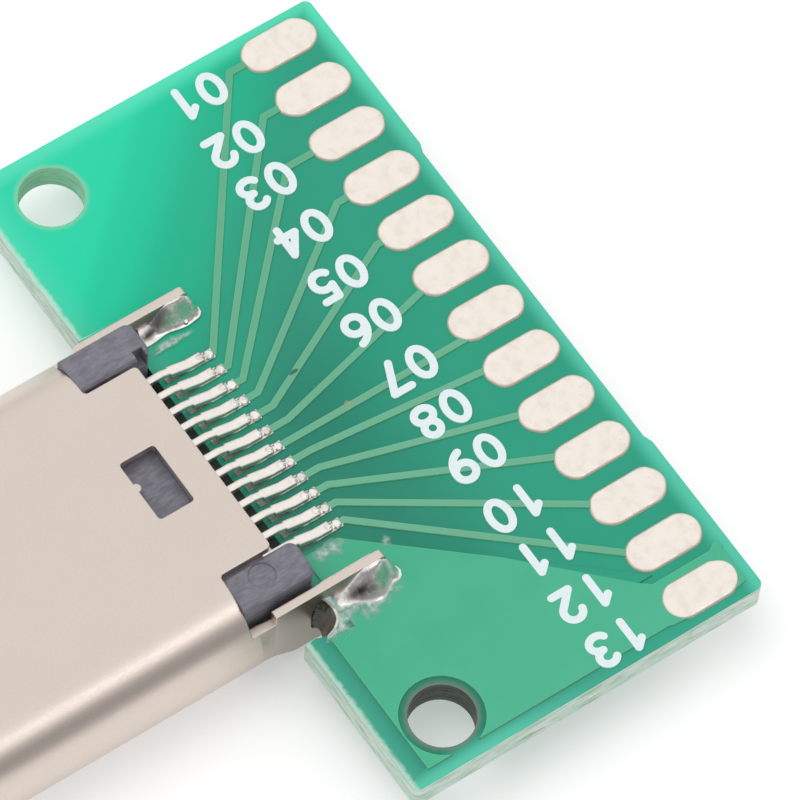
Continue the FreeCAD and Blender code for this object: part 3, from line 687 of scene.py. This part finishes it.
def prong_fillets(shape):
    """Solder drawn up each prong's side, round at the top and hollow at its foot."""
    shade_and_burn = shape.verts.layers.float.new("shade_and_burn")
    for side, start, near_reach, end_reach, swell, darker_at in FILLETS:
        left, right = sorted(PLUG_X + side * face for face in ARM_FACES)
        front = RECESS + start
        path = fillet_path(left, right, front, ARM_END)
        rings, shade_and_burn_weights = [], []
        for k in range(FILLET_STEPS + 1):
            t = 1 - k / FILLET_STEPS
            ring = []
            shade_and_burn_weights.append([])
            for point, out in path:
                far = (point.y - front) / (ARM_END - front)
                lump = noise.noise(Vector((point.x * 1.7, point.y * 1.7, out.x + side * 3)))
                belly = swell * hump(far, 0.62, 0.32)
                sideways = near_reach + belly if out.x > 0 else 0.20
                ahead = end_reach if out.y > 0 else 0.05
                spread = abs(out.x) * sideways + abs(out.y) * ahead
                spread *= 1 + 0.22 * lump
                wet = min(1.0, max(0.0, (far - 0.12) / 0.5))
                climb = 0.16 + 0.58 * ease(wet)
                climb -= 0.24 * max(0.0, (far - 0.88) / 0.12)
                ripple = 0.04 * noise.noise(Vector((point.x * 3, point.y * 3, t * 2 + side)))
                height = climb * ease(1 - t) + ripple * (1 - t) * t * 4
                height = min(height, ARM_TOP - COPPER_TOP - 0.008)
                place = point + out * (spread * t - 0.015 * (1 - t))
                ring.append(place + Vector((0, 0, COPPER_TOP + 0.004 + height)))
                # dark band half way up the solder on its +x side: painted shade, with some scorched
                # flux
                shade_band = hump(t, 0.5, 0.25) if out.x > 0 else 0.0
                shade_and_burn_weights[-1].append(shade_band * hump(far, darker_at, 0.3))
            rings.append(ring)
        skin(shape, rings, shade_and_burn, shade_and_burn_weights, cap=False)
    for centre, radius in DROPS:
        blob(shape, centre, radius)


def fillet_path(left, right, front, back):
    """Points round a prong's foot, each with the way out from it."""
    path = []
    corners = [((left, front), (-1, 0)), ((left, back), (0, 1)), ((right, back), (1, 0)),
               ((right, front), (0, -1))]
    for i, ((x, y), out) in enumerate(corners):
        (next_x, next_y), turn = corners[(i + 1) % 4]
        count = 14 if abs(next_y - y) > abs(next_x - x) else 4
        for k in range(count):
            t = k / count
            spot = Vector((x + (next_x - x) * t, y + (next_y - y) * t, 0))
            path.append((spot, Vector((*out, 0))))
        for k in range(6):
            t = (k + 0.5) / 6
            mixed = Vector((*out, 0)).lerp(Vector((*turn, 0)), t).normalized()
            path.append((Vector((next_x, next_y, 0)), mixed))
    return path[::-1]


def blob(shape, centre, radius):
    """Small lumpy ball of solder."""
    made = bmesh.ops.create_icosphere(shape, subdivisions=3, radius=radius)
    for vert in made["verts"]:
        vert.co *= 1 + 0.15 * noise.noise(vert.co * 18 + Vector(centre))
        vert.co += Vector(centre)


# knob, neck and drop of a tail's solder: place past the tail's end, height, then half sizes

BEADS = [(-0.07, 0.04, 0.128, 0.15, 0.142), (0.06, 0.0, 0.10, 0.13, 0.055),
         (0.20, -0.02, 0.145, 0.14, 0.105)]


def tail_beads(shape):
    """Solder knob over each tail's end, a neck behind it and a drop on the land."""
    for x in TAIL_PLACES:
        sway = 0.015 * noise.noise(Vector((x * 3, 0, 0)))
        plump = 1 + 0.12 * noise.noise(Vector((x * 5, 3, 0)))
        for along, centre, wide, long, high in BEADS:
            made = bmesh.ops.create_icosphere(shape, subdivisions=3, radius=1)
            for vert in made["verts"]:
                lump = plump * (1 + 0.08 * noise.noise(vert.co * 1.5 + Vector((x, along, 0))))
                vert.co = Vector((x + sway + vert.co.x * wide * lump,
                                  TAIL_END + along + vert.co.y * long * lump,
                                  COPPER_TOP + max(centre + vert.co.z * high, 0.001)))


# flux films: place, half width, half depth and how well they cover

FILMS = [(-3.43, 4.85, 0.15, 0.62, 0.85), (3.30, 4.92, 0.26, 0.50, 0.9),
         (4.92, 5.10, 0.50, 0.86, 0.9), (3.88, 6.22, 0.17, 0.15, 0.6)]


def flux_films(shape):
    """Films of dried flux beside the prongs."""
    cover = shape.verts.layers.float.new("cover")
    for n, (x, y, wide, deep, strength) in enumerate(FILMS):
        rings = []
        for k in range(9):
            t = 1 - k / 9
            ring = []
            for m in range(36):
                angle = 2 * math.pi * m / 36
                out = Vector((math.cos(angle), math.sin(angle), 0))
                wave = 1 + 0.4 * noise.noise(out * 1.6 + Vector((n * 4.3, 0, 0)))
                ring.append(Vector((x + out.x * wide * t * wave, y + out.y * deep * t * wave,
                                    COPPER_TOP + 0.008 + 0.012 * (1 - t) + 0.002 * n)))
            rings.append(ring)
        skin(shape, rings, cover, [strength * min(1, 1.8 * k / 9) for k in range(9)])


def between_points(points, t):
    """Place at t, from 0 to 1, on a smooth line through points."""
    spot = t * (len(points) - 1)
    i = min(int(spot), len(points) - 2)
    ends = [Vector(points[max(0, min(len(points) - 1, i + k))]) for k in (-1, 0, 1, 2)]
    u = spot - i
    a, b, c, d = ends
    return 0.5 * ((2 * b) + (c - a) * u + (2 * a - 5 * b + 4 * c - d) * u * u
                  + (3 * b - a - 3 * c + d) * u ** 3)


# rim of the solder and flux in the recess's corner beside the right arm, from arm to wing,
# then the film's outer edge on the board and the foot of the dark sheet of painted shade in the gap

LIP_LINE = [(4.44, 3.92, 2.46), (4.54, 4.06, 2.26), (4.74, 4.13, 2.12), (4.97, 4.06, 2.09),
            (5.13, 3.86, 2.08), (5.20, 3.62, 2.06)]
RIM_LINE = [(4.46, 4.34, 2.30), (4.76, 4.46, 2.12), (5.10, 4.46, 2.11), (5.40, 4.24, 2.10),
            (5.50, 3.86, 2.09), (5.36, 3.44, 2.08)]
FOOT_LINE = [(4.41, 3.70, 1.34), (4.50, 3.74, 1.30), (4.66, 3.80, 1.27), (4.84, 3.74, 1.27),
             (4.98, 3.60, 1.27), (5.06, 3.40, 1.27)]
OPENING_ROUND = 40
LIP_ROUND = 10
LINE_STEPS = 32
SHEET_STEPS = 12


def sheet(shape, first, second, sag, layer=None):
    """Smooth sheet between two lines, pushed down in the middle by sag."""
    rows = []
    for i in range(LINE_STEPS + 1):
        start = between_points(first, i / LINE_STEPS)
        end = between_points(second, i / LINE_STEPS)
        row = []
        for k in range(SHEET_STEPS + 1):
            t = k / SHEET_STEPS
            vert = shape.verts.new(start.lerp(end, t) - Vector((0, 0, sag * math.sin(math.pi * t))))
            if layer is not None:
                vert[layer] = 1.5 - 1.4 * t * t
            row.append(vert)
        rows.append(row)
    for before, after in zip(rows, rows[1:]):
        for k in range(SHEET_STEPS):
            shape.faces.new((before[k], after[k], after[k + 1], before[k + 1]))


def flux_web(shape):
    """Film of flux from the lip of the corner's solder out onto the board."""
    sheet(shape, LIP_LINE, RIM_LINE, 0.02, shape.verts.layers.float.new("cover"))


def gap_shade_fill(shape):
    """Dark sheet of painted shade in the gap beside the right arm and across the arm's opening."""
    sheet(shape, LIP_LINE, FOOT_LINE, -0.10)
    middle = Vector((PLUG_X + ARM_FACES[0] + 0.05, RECESS - 0.055, MIDDLE))
    rings = []
    for k in range(7):
        t = 1 - k / 7
        ring = []
        for m in range(OPENING_ROUND):
            angle = 2 * math.pi * m / OPENING_ROUND
            across, upward = (
                half * t * math.copysign(abs(part) ** 0.7, part)
                for half, part in zip(OPENING_SIZE, (math.cos(angle), math.sin(angle))))
            ring.append(middle + Vector((-0.06 * (1 - t * t), across, upward)))
        rings.append(ring)
    skin(shape, rings)


def recess_strip(shape):
    """Edge of the left wing, up to where the arm hides it."""
    low = Vector((STRIP_X[0], BOARD_FRONT + 0.005, BOARD_TOP - 0.4))
    high = Vector((STRIP_X[1], RECESS + 0.04, BOARD_TOP + 0.002))
    made = bmesh.ops.create_cube(shape, size=1)
    for vert in made["verts"]:
        vert.co = Vector([(low[i] + high[i]) / 2 + vert.co[i] * (high[i] - low[i])
                          for i in range(3)])


def solder_lip(shape):
    """Thin bright lip of solder from the right arm round the recess's corner."""
    rows = []
    for i in range(LINE_STEPS + 1):
        place = between_points(LIP_LINE, i / LINE_STEPS)
        radius = 0.04 * (0.35 + 0.65 * math.sin(math.pi * i / LINE_STEPS))
        row = []
        for m in range(LIP_ROUND):
            angle = 2 * math.pi * m / LIP_ROUND
            row.append(shape.verts.new(place + Vector((radius * math.cos(angle),
                                                       radius * math.sin(angle), 0.01))))
        rows.append(row)
    for first, second in zip(rows, rows[1:]):
        for m in range(LIP_ROUND):
            n = (m + 1) % LIP_ROUND
            shape.faces.new((first[m], first[n], second[n], second[m]))


def paint_node(name, material):
    """Give a CAD node its material."""
    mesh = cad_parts[name].data
    if not mesh.materials:
        mesh.materials.append(material)
    for i in range(len(mesh.materials)):
        mesh.materials[i] = material


# paint and build

MASK = board_paint()
SHELL = shell_paint()
PLASTIC = plastic_paint()
SPRING = spring_paint()
CONTACT = contact_paint()
LAND = tin_paint("tinned_lands", linear(226, 219, 212), linear(176, 166, 158), 0.36).material
SOLDER = solder_paint()
POUR = masked_copper_paint("mask_over_pour", [
    (0.0, linear(70, 182, 142)), (1.0, linear(76, 187, 148))], 3.0, 9.5, True)
TRACK = masked_copper_paint("mask_over_tracks", [
    (0.0, linear(98, 180, 142)), (0.4, linear(108, 180, 146)), (0.65, linear(116, 184, 151)),
    (1.0, linear(108, 180, 146))], -9.0, 8.0)
PAD = pad_paint()
INK = silk_paint()
FLUX = flux_paint()
GAP_SHADE = gap_shade_paint()

paint_node("board", MASK)
paint_node("plug_shell", SHELL)
paint_node("front_housing", PLASTIC)
paint_node("rear_housing", PLASTIC)
paint_node("latch_plate", SPRING)
for number in range(1, 13):
    paint_node("contact_a%d" % number, CONTACT)
    paint_node("contact_b%d" % number, CONTACT)
for side in ("top", "bottom"):
    paint_node("ground_spring_" + side, SPRING)
    paint_node("contact_lands_" + side, LAND)
    paint_node("shell_pads_" + side, LAND)
    paint_node("tracks_" + side, TRACK)
    paint_node("ground_pour_" + side, POUR)
    under = side == "bottom"
    make_piece("pads_" + side, pads, PAD, ["wire_pads_" + side], under)
    make_piece("labels_" + side, labels(14 if under else 1), INK, smooth=False,
               turned=under)
    make_piece("prong_fillets_" + side, prong_fillets, SOLDER,
               ["prong_solder_" + side], under)
    make_piece("tail_beads_" + side, tail_beads, SOLDER, ["tail_solder_" + side], under)
    make_piece("flux_" + side, flux_films, FLUX, under=under)
make_piece("flux_web", flux_web, FLUX)
make_piece("gap_shade_fill", gap_shade_fill, GAP_SHADE)
make_piece("solder_lip", solder_lip, LAND)
make_piece("recess_strip", recess_strip, MASK, smooth=False)


# floor, light and camera

def add_floor():
    """Pale floor that the camera sees nearly white and that keeps the shadow."""
    mesh = bpy.data.meshes.new("floor")
    shape = bmesh.new()
    bmesh.ops.create_grid(shape, x_segments=1, y_segments=1, size=FLOOR_SIZE)
    shape.to_mesh(mesh)
    shape.free()
    material = bpy.data.materials.new("floor_paper")
    material.use_nodes = True
    tree = material.node_tree
    shader = tree.nodes["Principled BSDF"]
    shader.inputs["Base Color"].default_value = (0.80, 0.80, 0.80, 1)
    shader.inputs["Roughness"].default_value = 0.9
    shader.inputs["Specular IOR Level"].default_value = 0.1
    path = tree.nodes.new("ShaderNodeLightPath")
    seen = tree.nodes.new("ShaderNodeMath")
    seen.operation = "MAXIMUM"
    tree.links.new(path.outputs["Is Camera Ray"], seen.inputs[0])
    mirrored = tree.nodes.new("ShaderNodeMath")
    mirrored.operation = "MAXIMUM"
    tree.links.new(path.outputs["Is Glossy Ray"], mirrored.inputs[0])
    tree.links.new(path.outputs["Is Transmission Ray"], mirrored.inputs[1])
    tree.links.new(mirrored.outputs[0], seen.inputs[1])
    glow = tree.nodes.new("ShaderNodeMath")
    glow.operation = "MULTIPLY"
    glow.inputs[1].default_value = FLOOR_GLOW
    tree.links.new(seen.outputs[0], glow.inputs[0])
    shader.inputs["Emission Color"].default_value = (1, 1, 1, 1)
    tree.links.new(glow.outputs[0], shader.inputs["Emission Strength"])
    mesh.materials.append(material)
    floor = bpy.data.objects.new("floor", mesh)
    floor.location.z = -0.01 * MM
    bpy.context.scene.collection.objects.link(floor)


# brightness of the room in mirrors against the height of the ray: first the two end stops

DARK_SIDE = ((0.0, 0.7), (0.70, 1.0), (0.16, 0.34), (0.50, 0.34))
BRIGHT_SIDE = ((0.0, 0.75), (0.5, 1.0), (0.2, 0.9))


def add_world():
    """Soft white room; mirrors see a dark band low on one side of it."""
    world = bpy.data.worlds.new("room")
    bpy.context.scene.world = world
    world.use_nodes = True
    tree = world.node_tree
    background = tree.nodes["Background"]
    background.inputs["Color"].default_value = (1, 1, 1, 1)
    place = tree.nodes.new("ShaderNodeTexCoord").outputs["Generated"]
    parts = tree.nodes.new("ShaderNodeSeparateXYZ")
    tree.links.new(place, parts.inputs[0])
    rooms = []
    for stops in (DARK_SIDE, BRIGHT_SIDE):
        side = tree.nodes.new("ShaderNodeValToRGB")
        marks_on = side.color_ramp.elements
        for i, (height, level) in enumerate(stops):
            mark = marks_on[i] if i < 2 else marks_on.new(height)
            mark.position, mark.color = height, (level, level, level, 1)
        tree.links.new(parts.outputs[2], side.inputs[0])
        rooms.append(side.outputs[0])
    turn = tree.nodes.new("ShaderNodeMapRange")
    turn.interpolation_type = "SMOOTHSTEP"
    turn.inputs[1].default_value = 0.05
    turn.inputs[2].default_value = 0.45
    tree.links.new(parts.outputs[0], turn.inputs[0])
    room = tree.nodes.new("ShaderNodeMix")
    room.data_type = "FLOAT"
    tree.links.new(turn.outputs[0], room.inputs[0])
    tree.links.new(rooms[1], room.inputs[2])
    tree.links.new(rooms[0], room.inputs[3])
    path = tree.nodes.new("ShaderNodeLightPath")
    mirror = tree.nodes.new("ShaderNodeMix")
    mirror.data_type = "FLOAT"
    tree.links.new(path.outputs["Is Glossy Ray"], mirror.inputs[0])
    mirror.inputs[2].default_value = 0.6
    tree.links.new(room.outputs[0], mirror.inputs[3])
    sight = tree.nodes.new("ShaderNodeMath")
    sight.operation = "MAXIMUM"
    tree.links.new(path.outputs["Is Camera Ray"], sight.inputs[0])
    tree.links.new(mirror.outputs[0], sight.inputs[1])
    tree.links.new(sight.outputs[0], background.inputs["Strength"])


def add_lamp(name, direction, distance, size, power, mirrored):
    """Square soft lamp that shines on the object from one direction."""
    data = bpy.data.lights.new(name, "AREA")
    data.shape = "SQUARE"
    data.size = size
    data.energy = power
    lamp = bpy.data.objects.new(name, data)
    away = Vector(direction).normalized()
    lamp.location = Vector((0, 0.004, 0.002)) + away * distance
    lamp.rotation_euler = away.to_track_quat("Z", "Y").to_euler()
    lamp.visible_glossy = mirrored
    bpy.context.scene.collection.objects.link(lamp)


def add_camera():
    """Camera at the photograph's viewing angle."""
    data = bpy.data.cameras.new("camera")
    data.lens = 369.9
    data.sensor_width = 36
    data.clip_start = 0.01
    data.clip_end = 10
    camera = bpy.data.objects.new("camera", data)
    right = Vector((0.56439, 0.82395, 0.05080))
    up = Vector((-0.73741, 0.47554, 0.47967))
    back = Vector((0.3711, -0.3082, 0.8760))
    turn = Matrix((right, up, back)).transposed().to_4x4()
    place = Vector((74.4647, -52.4544, 175.8196)) * MM
    camera.matrix_world = Matrix.Translation(place) @ turn
    bpy.context.scene.collection.objects.link(camera)
    bpy.context.scene.camera = camera


add_floor()
add_world()
add_lamp("overhead", (-0.25, -0.2, 0.95), 0.40, 0.34, 0.58, False)
add_lamp("side", (0.58, 0.31, 0.75), 0.40, 0.10, 0.05, True)
add_camera()
bpy.context.scene.view_settings.view_transform = "Standard"
